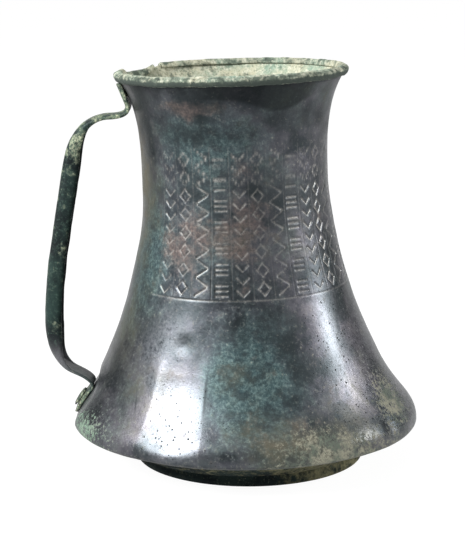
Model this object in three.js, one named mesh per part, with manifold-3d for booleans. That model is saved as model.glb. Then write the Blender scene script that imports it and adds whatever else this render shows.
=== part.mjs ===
// A bronze jug: a raised sheet body that flares from a narrow neck to a wide skirt, a base
// pan held in the wall's turned hem, a low foot ring, a folded binding on the rim and a
// strap handle, hammered to a channel and riveted at both ends.
//
// Units are millimetres. +Z is up, the jug stands on its foot ring, and the handle is on -X.
// Every form is first made round and upright about the Z axis. Then one function gives all
// pieces the old jug's lean, its dented rim and the hollow under the handle's lower end.

import * as THREE from 'three';
import { mergeVertices } from 'three/addons/utils/BufferGeometryUtils.js';
import Module from 'manifold-3d';

const wasm = await Module();
wasm.setup();

// Body: outside radii, the heights at which the wall has them, and how fast it flares there
const rimRadius = 49.4;
const rimHeight = 171;
const rimFlare = 0.55;
const neckRadius = 40.5;
const neckHeight = 126.8;
const shoulderRadius = 59.4;
const shoulderHeight = 48.8;
const shoulderFlare = -0.42;
const widestRadius = 76.5;
const widestHeight = 17.3;
const hemRadius = 66;
const hemHeight = 13.4;
const hemSlope = 0.2;
const wallThickness = 1.2;

// How far each tangent is followed between two of those heights, as a share of the rise
const widestEase = 0.3;
const shoulderEaseBelow = 0.67;
const shoulderEaseAbove = 0.056;
const neckEaseBelow = 0.5;
const neckEaseAbove = 0.71;
const rimEase = 0.135;
const underTurnEase = 0.62;

// Base pan and foot ring
const baseThickness = 1.2;
const baseFlangeWidth = 4.5;
const floorRise = 3;
const footRadius = 50.4;
const footHeight = 4.7;
const footWidth = 3.4;
const footTaper = 0.6;
const footOffCentre = 1.4;

// Rim binding: a strip folded over the wall's edge, with a break at the back
const bindingThickness = 1.1;
const bindingOuterLeg = 2.3;
const bindingInnerLeg = 1.9;
const breakAngle = 134;
const breakWidth = 5;
const flapLength = 12;
const flapLift = 0.5;

// Handle: a flat strap at its ends, a channel open to the body along the grip
const handleAngle = 180;
const strapWidth = 13;
const strapThickness = 2;
const gripDepth = 7.3;
const plateWidth = 14.5;
const plateThickness = 1.4;
const tabLength = 9;
const tabStandOff = 0.9;
const archRadius = 53.5;
const archDrop = 16.8;
const archHeight = rimHeight - archDrop;
const gripTopRadius = 75.6;
const gripTopHeight = 130;
const gripTopFlare = 0.19;
const gripFootRadius = 86.9;
const gripFootHeight = 59;
const elbowRadius = 75.6;
const elbowHeight = 37.4;
const elbowSlope = 0.56;
const plateTopHeight = 31;
const plateFootHeight = 19.4;

// How far the strap's path follows its tangents on each side of those places
const bendPull = 3.6;
const archPull = 14;
const gripTopPull = 13;
const gripPull = 22;
const gripFootPull = 11;
const elbowPull = 8;
const notchPull = 3.4;
const plateTopPull = 1.8;

// Rivets
const shankRadius = 1.5;
const upperRivetDrop = 7.8;
const upperRivetHeight = rimHeight - upperRivetDrop;
const upperHeadRadius = 3;
const lowerRivetHeight = 25.4;
const lowerHeadRadius = 4.6;
const lowerHeadHeight = 0.8;
const tailRadius = 2.8;
const tailHeight = 0.9;

// Wear: how the old jug departs from its first round and upright form
const lean = 0.034;
const rimTilt = 2.5;
const sagDepth = 2.1;
const sagStartAngle = 132;
const sagEndAngle = 171;
const sagReach = 22;
const hollowDepth = 2.2;
const hollowHeight = 27.5;
const hollowHalfWidth = 24;
const hollowHalfRise = 14;
const hollowFlatShare = 0.42;

// Clearance kept between touching pieces, and how finely round forms are divided
const seat = 0.3;
const roundSteps = 48;
const rivetSteps = 20;
const archSteps = 3;

const degree = Math.PI / 180;

// The base pan's floor is level over the whole foot ring, which stands a little off centre
const floorFlatRadius = footRadius + footOffCentre;
const floorHeight = footHeight + seat;

function point(radius, height) {
  return new THREE.Vector2(radius, height);
}

function smooth(value, low, high) {
  return THREE.MathUtils.smoothstep(value, low, high);
}

// A cubic between two places on an outline, each followed along its own tangent
function blend(from, fromTangent, to, toTangent) {
  return new THREE.CubicBezierCurve(from, from.clone().add(fromTangent), to.clone().sub(toTangent), to);
}

// A stretch of the wall between two heights. A flare is the radius gained per unit of height
function wallStretch(from, fromFlare, fromEase, to, toFlare, toEase) {
  const rise = to.y - from.y;
  const start = point(fromFlare, 1).multiplyScalar(rise * fromEase);
  const end = point(toFlare, 1).multiplyScalar(rise * toEase);
  return blend(from, start, to, end);
}

// Wall outline
const hem = point(hemRadius, hemHeight);
const widest = point(widestRadius, widestHeight);
const shoulder = point(shoulderRadius, shoulderHeight);
const neck = point(neckRadius, neckHeight);
const rim = point(rimRadius, rimHeight);

const underTurnRun = (widestRadius - hemRadius) * underTurnEase;
const underTurnRise = (widestHeight - hemHeight) * underTurnEase;
const underTurn = blend(
  hem,
  point(underTurnRun, underTurnRun * hemSlope),
  widest,
  point(0, underTurnRise),
);
const wallStretches = [
  { curve: underTurn, steps: 5 },
  { curve: wallStretch(widest, 0, widestEase, shoulder, shoulderFlare, shoulderEaseBelow), steps: 8 },
  { curve: wallStretch(shoulder, shoulderFlare, shoulderEaseAbove, neck, 0, neckEaseBelow), steps: 5 },
  { curve: wallStretch(neck, 0, neckEaseAbove, rim, rimFlare, rimEase), steps: 6 },
];

function sampleStretches(stretches) {
  const points = [stretches[0].curve.getPoint(0)];
  for (const { curve, steps } of stretches) {
    for (let step = 1; step <= steps; step += 1) {
      points.push(curve.getPoint(step / steps));
    }
  }
  return points;
}

const wallOutline = sampleStretches(wallStretches);

// The same outline moved square to itself, to the left of its direction
function offsetOutline(points, distance) {
  return points.map((here, index) => {
    const before = points[Math.max(index - 1, 0)];
    const after = points[Math.min(index + 1, points.length - 1)];
    const along = after.clone().sub(before).normalize();
    return here.clone().add(point(-along.y, along.x).multiplyScalar(distance));
  });
}

// Radius of an outline at a height, between the two points of its faceted surface
function radiusAt(outline, height) {
  for (let index = 1; index < outline.length; index += 1) {
    const low = outline[index - 1];
    const high = outline[index];
    if (height <= high.y) {
      return low.x + ((high.x - low.x) * (height - low.y)) / (high.y - low.y);
    }
  }
  return outline[outline.length - 1].x;
}

// Unit vector square to the wall at a height, pointing out of the jug
function wallNormal(height) {
  const reach = 1.5;
  const rise = point(radiusAt(wallOutline, height + reach) - radiusAt(wallOutline, height - reach), 2 * reach);
  return point(rise.y, -rise.x).normalize();
}

// Solids and cuts
function toSolid(geometry) {
  const bare = geometry.index ? geometry.clone() : geometry;
  bare.deleteAttribute('normal');
  bare.deleteAttribute('uv');
  const merged = mergeVertices(bare, 1e-4);
  const mesh = new wasm.Mesh({
    numProp: 3,
    vertProperties: new Float32Array(merged.attributes.position.array),
    triVerts: new Uint32Array(merged.index.array),
  });
  return new wasm.Manifold(mesh);
}

function toGeometry(solid) {
  const mesh = solid.getMesh();
  const geometry = new THREE.BufferGeometry();
  geometry.setAttribute('position', new THREE.BufferAttribute(mesh.vertProperties, 3));
  geometry.setIndex(new THREE.BufferAttribute(mesh.triVerts, 1));
  return geometry;
}

function cut(geometry, tools) {
  let solid = toSolid(geometry);
  for (const tool of tools) {
    solid = solid.subtract(toSolid(tool));
  }
  return toGeometry(solid);
}

// A closed outline of radius and height, anticlockwise, turned about the Z axis
function turned(outline, steps) {
  const loop = outline[0].x === 0 ? outline : [...outline, outline[0]];
  const geometry = new THREE.LatheGeometry(loop, steps);
  geometry.rotateX(Math.PI / 2);
  return geometry;
}

// Closed solid through a row of sections that all have the same number of points
function loft(sections) {
  const count = sections[0].length;
  const positions = sections.flat().flatMap((corner) => corner.toArray());
  const indices = [];
  for (let ring = 0; ring < sections.length - 1; ring += 1) {
    for (let side = 0; side < count; side += 1) {
      const next = (side + 1) % count;
      const here = ring * count;
      const there = here + count;
      indices.push(here + side, here + next, there + next);
      indices.push(here + side, there + next, there + side);
    }
  }
  // The ends are closed with strips between the outer and the inner half of the section
  const last = (sections.length - 1) * count;
  for (let side = 0; side < count / 2 - 1; side += 1) {
    const mirror = count - 1 - side;
    indices.push(side, mirror, side + 1);
    indices.push(mirror, mirror - 1, side + 1);
    indices.push(last + side, last + side + 1, last + mirror);
    indices.push(last + mirror, last + side + 1, last + mirror - 1);
  }
  const geometry = new THREE.BufferGeometry();
  geometry.setAttribute('position', new THREE.Float32BufferAttribute(positions, 3));
  geometry.setIndex(indices);
  return geometry;
}

// Wear
function settle(geometry) {
  const positions = geometry.attributes.position;
  for (let index = 0; index < positions.count; index += 1) {
    let x = positions.getX(index);
    let y = positions.getY(index);
    let z = positions.getZ(index);
    const radius = Math.hypot(x, y);
    const turn = THREE.MathUtils.euclideanModulo(Math.atan2(y, x) / degree, 360);

    // The wall is pressed in where the handle lands on it
    const across = (turn - handleAngle) * degree * radius;
    const away = Math.hypot(across / hollowHalfWidth, (z - hollowHeight) / hollowHalfRise);
    const nearWall = smooth(radius, floorFlatRadius, hemRadius);
    const press = hollowDepth * nearWall * (1 - smooth(away, hollowFlatShare, 1));
    if (radius > 0) {
      x -= (x / radius) * press;
      y -= (y / radius) * press;
    }

    // The rim sags between the break and the handle
    const sagWidth = (sagEndAngle - sagStartAngle) / 2;
    const sagMiddle = (sagEndAngle + sagStartAngle) / 2;
    const inSag = 1 - smooth(Math.abs(turn - sagMiddle), sagWidth / 2, sagWidth);
    z -= sagDepth * inSag * smooth(z, rimHeight - sagReach, rimHeight);

    // The body leans towards the handle, and its rim is higher on the far side
    z += (rimTilt * z * x) / (2 * rimRadius * rimHeight);
    x -= lean * z;
    positions.setXYZ(index, x, y, z);
  }
  geometry.computeVertexNormals();
  return geometry;
}

// Rivet frames: an upright piece is laid along the wall's normal at the handle's angle
function ontoWall(geometry, height) {
  const normal = wallNormal(height);
  const radius = radiusAt(wallOutline, height);
  const angle = handleAngle * degree;
  geometry.rotateY(Math.atan2(normal.x, normal.y));
  geometry.translate(radius, 0, height);
  geometry.rotateZ(angle);
  return geometry;
}

function drill(radius, fromOffset, toOffset, height) {
  const length = toOffset - fromOffset;
  const tool = new THREE.CylinderGeometry(radius, radius, length, rivetSteps);
  tool.rotateX(Math.PI / 2);
  tool.translate(0, 0, fromOffset + length / 2);
  return ontoWall(tool, height);
}

// Body wall, open at the rim and at the hem
function bodyWall() {
  const inside = offsetOutline(wallOutline, wallThickness).reverse();
  const shell = turned([...wallOutline, ...inside], roundSteps);
  const reach = 4 * wallThickness;
  const bore = shankRadius + seat;
  return cut(shell, [
    drill(bore, -reach, reach, upperRivetHeight),
    drill(bore, -reach, reach, lowerRivetHeight),
  ]);
}

// Base pan: its flange lies inside the turned hem, its middle is raised a little
function basePan() {
  const flangeShare = (baseFlangeWidth / (widestRadius - hemRadius)) * underTurnEase;
  const flangeSteps = 3;
  const onHem = [];
  for (let step = 0; step <= flangeSteps; step += 1) {
    onHem.push(underTurn.getPoint((flangeShare * step) / flangeSteps));
  }
  const cornerRadius = 1.2;
  const under = [
    ...offsetOutline(onHem, wallThickness + seat).reverse(),
    point(floorFlatRadius + cornerRadius, floorHeight + cornerRadius / 2),
    point(floorFlatRadius, floorHeight),
    point(footRadius - 3 * footWidth, floorHeight),
    point(footRadius / 2, floorHeight + 0.7 * floorRise),
    point(0, floorHeight + floorRise),
  ];
  const above = offsetOutline(under, -baseThickness);
  above[above.length - 1].x = 0;
  return turned([...under.reverse(), ...above], roundSteps);
}

function footRing() {
  const inner = footRadius - footWidth;
  const ring = turned([
    point(inner, 0),
    point(footRadius, 0),
    point(footRadius + footTaper / 2, footHeight / 3),
    point(footRadius - footTaper, footHeight),
    point(inner + footTaper, footHeight),
  ], roundSteps);
  ring.translate(footOffCentre, 0, 0);
  return ring;
}

// Rim binding: its section hugs the wall's edge on both sides
function rimBinding() {
  const up = point(rimFlare, 1).normalize();
  const out = point(up.y, -up.x);
  const edge = (outward, upward) => rim.clone()
    .addScaledVector(out, outward)
    .addScaledVector(up, upward);
  const inner = -wallThickness - seat;
  const thick = bindingThickness;
  const section = [
    edge(seat, -bindingOuterLeg),
    edge(seat + 0.8 * thick, -bindingOuterLeg),
    edge(seat + 1.25 * thick, -0.6 * bindingOuterLeg),
    edge(seat + 1.15 * thick, 0),
    edge(seat + 0.5 * thick, seat + 0.8 * thick),
    edge((seat + inner) / 2, seat + thick),
    edge(inner - 0.6 * thick, seat + 0.7 * thick),
    edge(inner - thick, 0),
    edge(inner - 0.8 * thick, -bindingInnerLeg),
    edge(inner, -bindingInnerLeg),
    edge(inner, seat),
    edge(seat, seat),
  ];
  const ring = turned(section, roundSteps);
  const gap = new THREE.BoxGeometry(rimRadius, breakWidth, rimRadius);
  gap.translate(rimRadius, 0, rimHeight);
  gap.rotateZ(breakAngle * degree);
  const strip = cut(ring, [gap]);

  // The strip's end past the break stands up from the wall, along the wall's own direction
  const positions = strip.attributes.position;
  for (let index = 0; index < positions.count; index += 1) {
    const x = positions.getX(index);
    const y = positions.getY(index);
    const angle = Math.atan2(y, x);
    const along = (angle - breakAngle * degree) * rimRadius;
    const lift = along > 0 ? flapLift * (1 - smooth(along, breakWidth / 2, flapLength)) : 0;
    positions.setX(index, x + lift * up.x * Math.cos(angle));
    positions.setY(index, y + lift * up.x * Math.sin(angle));
    positions.setZ(index, positions.getZ(index) + lift * up.y);
  }
  return strip;
}

// Place on the wall's outside at a height, moved out along the wall's normal
function onWall(height, standOff) {
  return point(radiusAt(wallOutline, height), height).addScaledVector(wallNormal(height), standOff);
}

// Handle: the path of the strap's outer face, in seven runs from the rim down to the skirt
const tabTopHeight = rimHeight - bindingOuterLeg - 2 * seat;
const tabTop = onWall(tabTopHeight, seat + strapThickness);
const tabFoot = onWall(tabTopHeight - tabLength, tabStandOff + strapThickness);
const arch = point(archRadius, archHeight);
const gripTop = point(gripTopRadius, gripTopHeight);
const gripFoot = point(gripFootRadius, gripFootHeight);
const elbow = point(elbowRadius, elbowHeight);
const plateTop = onWall(plateTopHeight, seat + plateThickness);

const tabDirection = tabFoot.clone().sub(tabTop).normalize();
const gripTopDirection = point(gripTopFlare, -1).normalize();
const elbowDirection = point(-1, -elbowSlope).normalize();
const plateNormal = wallNormal(plateTopHeight);
const plateDirection = point(plateNormal.y, -plateNormal.x);

function pull(direction, length) {
  return direction.clone().multiplyScalar(length);
}

const outward = point(1, 0);
const down = point(0, -1);
const tabRun = new THREE.LineCurve(tabTop, tabFoot);
const bendRun = blend(tabFoot, pull(tabDirection, bendPull), arch, pull(outward, bendPull));
const archRun = blend(arch, pull(outward, archPull), gripTop, pull(gripTopDirection, gripTopPull));
const gripRun = blend(gripTop, pull(gripTopDirection, gripPull), gripFoot, pull(down, gripPull));
const sweepRun = blend(gripFoot, pull(down, gripFootPull), elbow, pull(elbowDirection, elbowPull));
const notchRun = blend(elbow, pull(elbowDirection, notchPull), plateTop, pull(plateDirection, plateTopPull));
const plateRun = {
  getPoint: (share) => onWall(
    THREE.MathUtils.lerp(plateTopHeight, plateFootHeight, share),
    seat + plateThickness,
  ),
};

// A form of the strap's section: how wide it is, how far its edges reach back, how thick it is
const flatForm = { width: strapWidth, depth: strapThickness, thickness: strapThickness };
const channelForm = { width: strapWidth, depth: gripDepth, thickness: strapThickness };
const plateForm = { width: plateWidth, depth: plateThickness, thickness: plateThickness };

const handleRuns = [
  { curve: tabRun, steps: 3, from: flatForm, to: flatForm },
  { curve: bendRun, steps: 7, from: flatForm, to: flatForm },
  { curve: archRun, steps: 9, from: flatForm, to: channelForm },
  { curve: gripRun, steps: 9, from: channelForm, to: channelForm },
  { curve: sweepRun, steps: 8, from: channelForm, to: flatForm },
  { curve: notchRun, steps: 7, from: flatForm, to: plateForm },
  { curve: plateRun, steps: 7, from: plateForm, to: plateForm },
];

function blendForms(from, to, share) {
  const eased = smooth(share, 0, 1);
  return {
    width: THREE.MathUtils.lerp(from.width, to.width, eased),
    depth: THREE.MathUtils.lerp(from.depth, to.depth, eased),
    thickness: THREE.MathUtils.lerp(from.thickness, to.thickness, eased),
  };
}

// Half of a strap section's corners: an arch with square shoulders, from one edge to the other
function archCorners(halfWidth, crown, edge) {
  const squareness = 0.55;
  const corners = [];
  for (let step = 0; step <= 2 * archSteps; step += 1) {
    const turn = (Math.PI * step) / (2 * archSteps);
    const across = Math.sign(Math.cos(turn)) * Math.abs(Math.cos(turn)) ** squareness;
    const raised = Math.sin(turn) ** squareness;
    corners.push(point(halfWidth * across, edge - (edge - crown) * raised));
  }
  return corners;
}

// Corners of the strap's section: across the strap, and back from its outer face
function strapSection({ width, depth, thickness }) {
  const outer = archCorners(width / 2, 0, depth);
  const inner = archCorners(width / 2 - thickness, thickness, depth);
  return [...outer, ...inner.reverse()];
}

function strapHandle() {
  const stations = [{ place: tabTop, form: flatForm }];
  for (const { curve, steps, from, to } of handleRuns) {
    for (let step = 1; step <= steps; step += 1) {
      const share = step / steps;
      stations.push({ place: curve.getPoint(share), form: blendForms(from, to, share) });
    }
  }

  // The plate ends in a round tongue
  const plateSteps = handleRuns.at(-1).steps;
  const tongueSteps = 4;
  for (let step = 1; step <= tongueSteps; step += 1) {
    const station = stations[stations.length - 1 - tongueSteps + step];
    const share = step / (tongueSteps + 0.3);
    station.form.width *= Math.sqrt(1 - share * share);
  }

  const places = stations.map((station) => station.place);
  const sections = stations.map(({ place, form }, index) => {
    const before = places[Math.max(index - 1, 0)];
    const after = places[Math.min(index + 1, places.length - 1)];
    const along = after.clone().sub(before).normalize();
    const normal = point(-along.y, along.x);
    return strapSection(form).map(({ x: across, y: back }) => {
      const corner = place.clone().addScaledVector(normal, -back);
      const angle = handleAngle * degree + across / place.x;
      return new THREE.Vector3(corner.x * Math.cos(angle), corner.x * Math.sin(angle), corner.y);
    });
  });
  const bore = shankRadius + seat;
  return cut(loft(sections), [
    countersink(),
    drill(bore, 0, 3 * strapThickness, upperRivetHeight),
    drill(bore, 0, 3 * strapThickness, lowerRivetHeight),
  ]);
}

// Where the tab's outer face crosses the upper rivet's axis, measured out from the wall
const upperRivetPlace = onWall(upperRivetHeight, 0);
const tabShare = (tabTopHeight - upperRivetHeight) / tabLength;
const tabFaceOffset = tabTop.clone().lerp(tabFoot, tabShare).sub(upperRivetPlace).length();
const sinkDepth = 0.6 * strapThickness;

// Cone in the tab's outer face for the upper rivet's flush head
function countersink() {
  const over = seat;
  const slope = (upperHeadRadius - shankRadius) / sinkDepth;
  const cone = new THREE.CylinderGeometry(
    upperHeadRadius + seat + slope * over,
    shankRadius + seat,
    sinkDepth + over,
    rivetSteps,
  );
  cone.rotateX(Math.PI / 2);
  cone.translate(0, 0, tabFaceOffset + (over - sinkDepth) / 2);
  return ontoWall(cone, upperRivetHeight);
}

// Rivet tail, hammered over inside the wall: the first corners of a rivet's outline
function rivetTail() {
  const top = -wallThickness - seat;
  return [
    point(0, top - tailHeight),
    point(0.7 * tailRadius, top - tailHeight),
    point(tailRadius, top - 0.6 * tailHeight),
    point(tailRadius, top),
    point(shankRadius, top),
  ];
}

function upperRivet() {
  const outline = [
    ...rivetTail(),
    point(shankRadius, tabFaceOffset - sinkDepth),
    point(upperHeadRadius, tabFaceOffset),
    point(0, tabFaceOffset),
  ];
  return ontoWall(turned(outline, rivetSteps), upperRivetHeight);
}

function lowerRivet() {
  const headFoot = plateThickness + 2 * seat;
  const domeSteps = 4;
  const dome = [];
  for (let step = 0; step < domeSteps; step += 1) {
    const turn = (Math.PI / 2) * (step / domeSteps);
    const rise = 0.3 + 0.7 * Math.sin(turn);
    dome.push(point(lowerHeadRadius * Math.cos(turn), headFoot + lowerHeadHeight * rise));
  }
  const outline = [
    ...rivetTail(),
    point(shankRadius, headFoot),
    point(lowerHeadRadius, headFoot),
    ...dome,
    point(0, headFoot + lowerHeadHeight),
  ];
  return ontoWall(turned(outline, rivetSteps), lowerRivetHeight);
}

// Finishes: colour, roughness and how metallic the patina still looks
const darkBronze = new THREE.MeshStandardMaterial({ color: 0x45464a, roughness: 0.42, metalness: 0.75 });
const paleCrust = new THREE.MeshStandardMaterial({ color: 0x9ea894, roughness: 0.85, metalness: 0.15 });
const shadedBronze = new THREE.MeshStandardMaterial({ color: 0x3c4340, roughness: 0.6, metalness: 0.5 });
const oliveBronze = new THREE.MeshStandardMaterial({ color: 0x5d5c42, roughness: 0.7, metalness: 0.4 });
const greenBronze = new THREE.MeshStandardMaterial({ color: 0x35443d, roughness: 0.55, metalness: 0.6 });
const rivetBronze = new THREE.MeshStandardMaterial({ color: 0x76836c, roughness: 0.75, metalness: 0.35 });

const pieces = [
  { name: 'body_wall', geometry: bodyWall(), finish: darkBronze },
  { name: 'rim_binding', geometry: rimBinding(), finish: paleCrust },
  { name: 'base_pan', geometry: basePan(), finish: shadedBronze },
  { name: 'foot_ring', geometry: footRing(), finish: oliveBronze },
  { name: 'strap_handle', geometry: strapHandle(), finish: greenBronze },
  { name: 'upper_rivet', geometry: upperRivet(), finish: rivetBronze },
  { name: 'lower_rivet', geometry: lowerRivet(), finish: rivetBronze },
];

const jug = new THREE.Group();
for (const { name, geometry, finish } of pieces) {
  const mesh = new THREE.Mesh(settle(geometry), finish);
  mesh.name = name;
  jug.add(mesh);
}

// The origin is at the middle of the jug's outline, on the surface that it stands on
const bounds = new THREE.Box3().setFromObject(jug);
jug.position.set(
  -(bounds.min.x + bounds.max.x) / 2,
  -(bounds.min.y + bounds.max.y) / 2,
  -bounds.min.z,
);

export default jug;
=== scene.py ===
"""Looks of the bronze jug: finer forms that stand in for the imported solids, one for each.

Sizes are in millimetres until a mesh is written, and azimuths are in degrees from the front
(-Y), positive towards +X. Every form is made round about the Z axis, then settled as in CAD.
The stage is in metres.
"""

import math

import bpy
import numpy as np
from mathutils import Matrix, Vector

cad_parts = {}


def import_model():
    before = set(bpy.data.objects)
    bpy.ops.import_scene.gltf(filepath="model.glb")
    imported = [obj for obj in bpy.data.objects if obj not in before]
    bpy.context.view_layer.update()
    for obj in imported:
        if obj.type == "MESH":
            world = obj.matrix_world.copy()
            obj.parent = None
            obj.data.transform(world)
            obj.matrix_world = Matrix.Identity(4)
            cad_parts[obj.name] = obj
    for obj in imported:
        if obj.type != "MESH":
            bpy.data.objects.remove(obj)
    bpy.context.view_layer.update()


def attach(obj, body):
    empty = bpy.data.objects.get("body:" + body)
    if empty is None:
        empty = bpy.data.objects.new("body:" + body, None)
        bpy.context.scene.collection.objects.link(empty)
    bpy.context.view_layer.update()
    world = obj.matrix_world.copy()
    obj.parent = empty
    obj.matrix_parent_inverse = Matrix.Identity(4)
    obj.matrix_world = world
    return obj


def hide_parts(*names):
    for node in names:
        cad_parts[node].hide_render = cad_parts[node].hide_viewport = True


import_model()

# Where the body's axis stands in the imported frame
AXIS_X = 6.488

# Wall outline: radius and height at five places, with the same values as the solids
RIM = np.array([49.4, 171.0])
NECK = np.array([40.5, 126.8])
SHOULDER = np.array([59.4, 48.8])
WIDEST = np.array([76.5, 17.3])
HEM = np.array([66.0, 13.4])
RIM_FLARE = 0.55
SHOULDER_FLARE = -0.42
HEM_SLOPE = 0.2
WALL_THICKNESS = 1.2

# How far each tangent is followed between two of those places, as a share of the rise
UNDER_TURN_EASE = 0.62
WIDEST_EASE = 0.3
SHOULDER_EASE_BELOW = 0.67
SHOULDER_EASE_ABOVE = 0.056
NECK_EASE_BELOW = 0.5
NECK_EASE_ABOVE = 0.71
RIM_EASE = 0.135

# Points along each stretch of the wall, from the hem up, on its outside and its inside
OUTER_COUNTS = (18, 90, 235, 70)
INNER_COUNTS = (10, 30, 50, 30)

# Columns round each form. The wall's are finer over the side with the ornament
FINE_START = -58
FINE_END = 104
FINE_COLUMNS = 620
COARSE_COLUMNS = 250
BINDING_COLUMNS = 900
BASE_COLUMNS = 240
FOOT_COLUMNS = 420
RIVET_COLUMNS = 40

# Base pan and foot ring
BASE_THICKNESS = 1.2
BASE_FLANGE_WIDTH = 4.5
BASE_CORNER = 1.2
FLOOR_RISE = 3.0
FOOT_RADIUS = 50.4
FOOT_HEIGHT = 4.7
FOOT_WIDTH = 3.4
FOOT_TAPER = 0.6
FOOT_EDGE = 0.25
FOOT_BEVEL = 0.1
FOOT_OFF_CENTRE = 1.4

# Rim binding
BINDING_THICKNESS = 1.1
OUTER_LEG = 2.3
INNER_LEG = 1.9
BREAK_ANGLE = 134.0
BREAK_WIDTH = 5.0
FLAP_LENGTH = 12.0
FLAP_LIFT = 0.5

# Handle: its places as radius and height, and how far the path follows its tangents there
STRAP_WIDTH = 13.0
STRAP_THICKNESS = 2.0
GRIP_DEPTH = 7.3
PLATE_WIDTH = 14.5
PLATE_THICKNESS = 1.4
TAB_LENGTH = 9.0
TAB_STAND_OFF = 0.9
ARCH_DROP = 16.8
ARCH = np.array([53.5, RIM[1] - ARCH_DROP])
GRIP_TOP = np.array([75.6, 130.0])
GRIP_TOP_FLARE = 0.19
GRIP_FOOT = np.array([86.9, 59.0])
ELBOW = np.array([75.6, 37.4])
ELBOW_SLOPE = 0.56
PLATE_TOP_HEIGHT = 31.0
PLATE_FOOT_HEIGHT = 19.4
BEND_PULL = 3.6
ARCH_PULL = 14
GRIP_TOP_PULL = 13
GRIP_PULL = 22
GRIP_FOOT_PULL = 11
ELBOW_PULL = 8
NOTCH_PULL = 3.4
PLATE_TOP_PULL = 1.8

# The strap's section is an arch with square shoulders, with this many points on each skin
SQUARENESS = 0.55
SKIN_POINTS = 27

# How many of the last stations make up the plate's round tongue
TONGUE_STATIONS = 12

# A form of the strap: how wide it is, how far its edges reach back, how thick it is
FLAT = np.array([STRAP_WIDTH, STRAP_THICKNESS, STRAP_THICKNESS])
CHANNEL = np.array([STRAP_WIDTH, GRIP_DEPTH, STRAP_THICKNESS])
PLATE = np.array([PLATE_WIDTH, PLATE_THICKNESS, PLATE_THICKNESS])

# Rivets: their places, and profiles of tail and heads as radius and rise from a level each
UPPER_RIVET_DROP = 7.8
LOWER_RIVET_HEIGHT = 25.4
FLUSH_HEAD_LIFT = 0.35
DOME_SEAT = 0.25
POLE = 0.02
TAIL_PROFILE = [(POLE, -0.9), (1.4, -0.85), (2.4, -0.6), (2.8, -0.3), (2.8, 0), (1.5, 0)]
FLUSH_PROFILE = [(1.5, -1.2), (3.0, -0.1), (2.7, 0.1), (1.5, 0.2), (POLE, 0.22)]
DOME_PROFILE = [(1.5, 0), (4.6, 0), (4.5, 0.5), (3.6, 0.9), (2.0, 1.1), (POLE, 1.15)]

# Clearance kept between touching pieces
SEAT = 0.3

# Wear of the whole form, as the solids have it
LEAN = 0.034
RIM_TILT = 2.5
SAG_DEPTH = 2.1
SAG_START = 132.0
SAG_END = 171.0
SAG_REACH = 22.0
HOLLOW_DEPTH = 2.2
HOLLOW_HEIGHT = 27.5
HOLLOW_HALF_WIDTH = 24.0
HOLLOW_HALF_RISE = 14.0
HOLLOW_FLAT_SHARE = 0.42

# Ornament panel: ruled columns of plain repeating strokes, from a left end round to the side
PANEL_LEFT = -48.0
PANEL_RIGHT = 96.0
PANEL_COLUMNS = 13
PANEL_TOP = 142.6
PANEL_FOOT = 79.6
PANEL_MARGIN = 3.0
MOTIF_HALF_WIDTH = 2.5
MOTIF_GAP = 1.0
STROKE_HALF_WIDTH = 0.42
STROKE_TAPER = 0.2
RULE_HALF_WIDTH = 0.28
RULE_LEVEL = 0.55
DIVIDER_HALF_WIDTH = 0.25
DIVIDER_LEVEL = 0.22
GROOVE_DEPTH = 0.42

# Flattened patch on the skirt: its azimuth, half its angle, and its depth as a share of a chord
PATCH_ANGLE = -26
PATCH_HALF_ANGLE = 11.2
PATCH_SHARE = 0.95

# Dimples: depth, then the azimuth and height of the middle, then the half sizes
DIMPLES = [
    (0.45, (-26.5, 61.5), (4.2, 3.4)),
    (1.0, (55.6, 23), (3.4, 4.5)),
    (0.5, (150, 60), (9, 12)),
    (0.4, (-120, 95), (10, 10)),
]

# Patches of the wall's patina: strength, then middle and half sizes as for the dimples
PATCHES = {
    "crust": [
        (0.9, (66, 31), (12, 11)),
        (0.7, (-66, 21), (16, 7)),
        (0.75, (31, 17), (22, 7)),
        (0.5, (24, 26), (14, 6)),
    ],
    "bloom": [
        (1.1, (4, 50), (24, 25)),
        (0.9, (-58, 92), (22, 30)),
        (0.9, (-18, 145), (34, 13)),
        (0.5, (-20, 108), (20, 22)),
        (-1.2, (-31, 38), (11, 24)),
        (-1.1, (46, 66), (15, 34)),
    ],
    "rust": [
        (1.1, (-30, 103), (17, 14)),
        (1.0, (4, 108), (16, 15)),
        (1.1, (-26, 159), (17, 5)),
        (0.8, (-74, 130), (12, 22)),
        (0.6, (8, 135), (10, 8)),
        (0.7, (14, 26), (16, 9)),
    ],
    # Rubbed metal with a painted sheen, where the lamps' highlights fall on the skirt and the belly
    "polish_and_sheen": [
        (1.1, (-24, 32), (8, 13)),
        (0.9, (44, 66), (6, 16)),
        (0.5, (-40, 58), (16, 18)),
        (0.2, (50, 44), (7, 14)),
    ],
    "olive": [
        (1.0, (-78, 130), (24, 34)),
        (0.6, (-62, 60), (22, 20)),
        (0.8, (24, 24), (26, 12)),
    ],
    "pits": [
        (0.7, (46, 60), (14, 30)),
        (0.75, (-26, 28), (13, 16)),
        (0.5, (60, 30), (25, 18)),
    ],
    "mint": [
        (0.9, (-72, 22), (26, 12)),
    ],
}

# Stage: strengths and greys of the world, the floor and the black cards
WORLD_LIGHT = 0.42
WORLD_SEEN = 1.0
FLOOR_SIZE = 28
FLOOR_GLOW = 1.1
FLOOR_GLOW_SHARE = 0.86
PAPER_GREY = 0.9
CARD_GREY = 0.02

# Lamps, with power in watts: a large one high at the front left, a narrow one at the right
KEY_PLACE = (-0.93, -0.6, 0.9)
KEY_TARGET = (0, 0, 0.05)
KEY_SIZE = (0.46, 0.72)
KEY_POWER = 31
STRIP_PLACE = (1.1, -0.02, 0.46)
STRIP_TARGET = (0, 0, 0.06)
STRIP_SIZE = (0.1, 0.34)
STRIP_POWER = 6.6

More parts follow.
